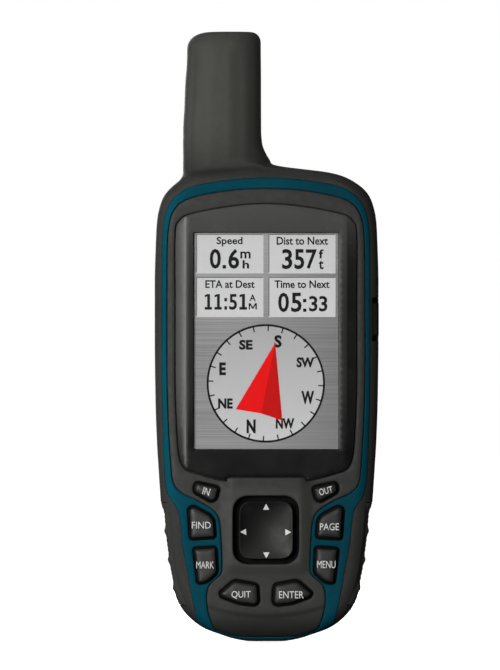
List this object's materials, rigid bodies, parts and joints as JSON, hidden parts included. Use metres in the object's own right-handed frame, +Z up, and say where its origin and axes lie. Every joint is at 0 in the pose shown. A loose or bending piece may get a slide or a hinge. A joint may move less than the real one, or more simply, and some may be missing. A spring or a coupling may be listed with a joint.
{
  "type": "handheld gps unit",
  "caption": "Handheld outdoor navigation receiver with an antenna mast, portrait display, keypad with rocker pad, side power key and a turn-locked battery door.",
  "frame": {"origin": "middle of the flat foot at the bottom end of the outer housing", "axes": "+Z up the body towards the antenna mast, the screen faces -Y, +X to the right of someone reading the screen"},
  "size_m": [0.059, 0.0363, 0.16],
  "materials": {
    "body_grey": "soft-touch rubberised grey plastic",
    "plate_grey": "fine moulded grain",
    "trim_teal": "satin teal moulding",
    "window_glass": "clear window with a dark printed border",
    "display": "reflective grey display",
    "backlight_white": "white light guide",
    "key_grey": "satin dark keys with white legends",
    "hard_black": "hard dark nylon",
    "rubber_black": "soft black elastomer",
    "seal_red": "silicone seal",
    "steel": "stainless steel",
    "tin_plate": "tin-plated sheet",
    "gold_plate": "gold-plated contact",
    "copper": "copper strip",
    "board_green": "solder mask",
    "flex_amber": "polyimide film",
    "cell_wrap": "printed cell sleeve",
    "core_ivory": "moulded dielectric",
    "dome_film": "clear film with steel domes"
  },
  "bodies": {
    "housing": {"accent_trim": "trim_teal", "antenna_cable": "rubber_black", "antenna_core": "core_ivory", "antenna_element_a": "copper", "antenna_element_b": "copper", "backlight": "backlight_white", "backup_cell": "steel", "battery_left": "cell_wrap", "battery_right": "cell_wrap", "board_flex": "flex_amber", "case_screw_lower_left": "steel", "case_screw_lower_right": "steel", "case_screw_upper_left": "steel", "case_screw_upper_right": "steel", "connector_board": "board_green", "contact_plate_bottom": "tin_plate", "contact_plate_top_left": "tin_plate", "contact_plate_top_right": "tin_plate", "contact_spring_left": "steel", "contact_spring_right": "steel", "cpu_shield": "tin_plate", "display_gasket": "rubber_black", "display_window": "window_glass", "dome_sheet": "dome_film", "front_plate": "plate_grey", "housing_gasket": "rubber_black", "keypad_mat": "rubber_black", "lcd_flex": "flex_amber", "lcd_frame": "steel", "lcd_panel": "display", "main_pcb": "board_green", "mcx_connector": "gold_plate", "microsd_socket": "tin_plate", "mounting_spine": "hard_black", "outer_housing": "body_grey", "piezo_beeper": "hard_black", "power_switch": "hard_black", "rf_shield": "tin_plate", "side_grip_left": "rubber_black", "side_grip_right": "rubber_black", "usb_port": "tin_plate"},
    "key_in": {"key_in": "key_grey"},
    "key_out": {"key_out": "key_grey"},
    "key_find": {"key_find": "key_grey"},
    "key_page": {"key_page": "key_grey"},
    "key_mark": {"key_mark": "key_grey"},
    "key_menu": {"key_menu": "key_grey"},
    "key_quit": {"key_quit": "key_grey"},
    "key_enter": {"key_enter": "key_grey"},
    "rocker_carrier": {"rocker_carrier": "hard_black"},
    "rocker_cap": {"rocker_cap": "key_grey"},
    "power_button": {"power_button": "hard_black"},
    "battery_door": {"battery_door": "body_grey", "door_gasket": "seal_red"},
    "latch": {"latch_knob": "hard_black", "latch_cam": "steel"},
    "d_ring": {"d_ring": "steel"},
    "usb_cap": {"usb_cap": "rubber_black"},
    "mcx_cap": {"mcx_cap": "rubber_black"}
  },
  "joints": [
    {"name": "key_in_press", "type": "slide", "parent": "housing", "child": "key_in", "axis": [0, 1, 0], "range_m": [0, 0.0006]},
    {"name": "key_out_press", "type": "slide", "parent": "housing", "child": "key_out", "axis": [0, 1, 0], "range_m": [0, 0.0006]},
    {"name": "key_find_press", "type": "slide", "parent": "housing", "child": "key_find", "axis": [0, 1, 0], "range_m": [0, 0.0006]},
    {"name": "key_page_press", "type": "slide", "parent": "housing", "child": "key_page", "axis": [0, 1, 0], "range_m": [0, 0.0006]},
    {"name": "key_mark_press", "type": "slide", "parent": "housing", "child": "key_mark", "axis": [0, 1, 0], "range_m": [0, 0.0006]},
    {"name": "key_menu_press", "type": "slide", "parent": "housing", "child": "key_menu", "axis": [0, 1, 0], "range_m": [0, 0.0006]},
    {"name": "key_quit_press", "type": "slide", "parent": "housing", "child": "key_quit", "axis": [0, 1, 0], "range_m": [0, 0.0006]},
    {"name": "key_enter_press", "type": "slide", "parent": "housing", "child": "key_enter", "axis": [0, 1, 0], "range_m": [0, 0.0006]},
    {"name": "rocker_up_down", "type": "hinge", "parent": "housing", "child": "rocker_carrier", "pos_m": [0, -0.0112, 0.0292], "axis": [1, 0, 0], "range_deg": [-3, 3]},
    {"name": "rocker_left_right", "type": "hinge", "parent": "rocker_carrier", "child": "rocker_cap", "pos_m": [0, -0.0129, 0.0292], "axis": [0, 0, 1], "range_deg": [-3, 3]},
    {"name": "power_press", "type": "slide", "parent": "housing", "child": "power_button", "axis": [-1, 0, 0], "range_m": [0, 0.0005]},
    {"name": "door_lift_off", "type": "slide", "parent": "housing", "child": "battery_door", "axis": [0, 1, 0], "range_m": [0, 0.04]},
    {"name": "latch_turn", "type": "hinge", "parent": "battery_door", "child": "latch", "pos_m": [0, 0.0197, 0.0136], "axis": [0, 1, 0], "range_deg": [0, 90]},
    {"name": "d_ring_fold", "type": "hinge", "parent": "latch", "child": "d_ring", "pos_m": [0, 0.0196, 0.0136], "axis": [-1, 0, 0], "range_deg": [0, 95]},
    {"name": "usb_cap_open", "type": "hinge", "parent": "housing", "child": "usb_cap", "pos_m": [-0.0082, 0.0142, 0.0856], "axis": [0, 0, 1], "range_deg": [0, 110]},
    {"name": "mcx_cap_open", "type": "hinge", "parent": "housing", "child": "mcx_cap", "pos_m": [0.003, 0.0142, 0.1142], "axis": [0, 0, 1], "range_deg": [0, 110]}
  ]
}
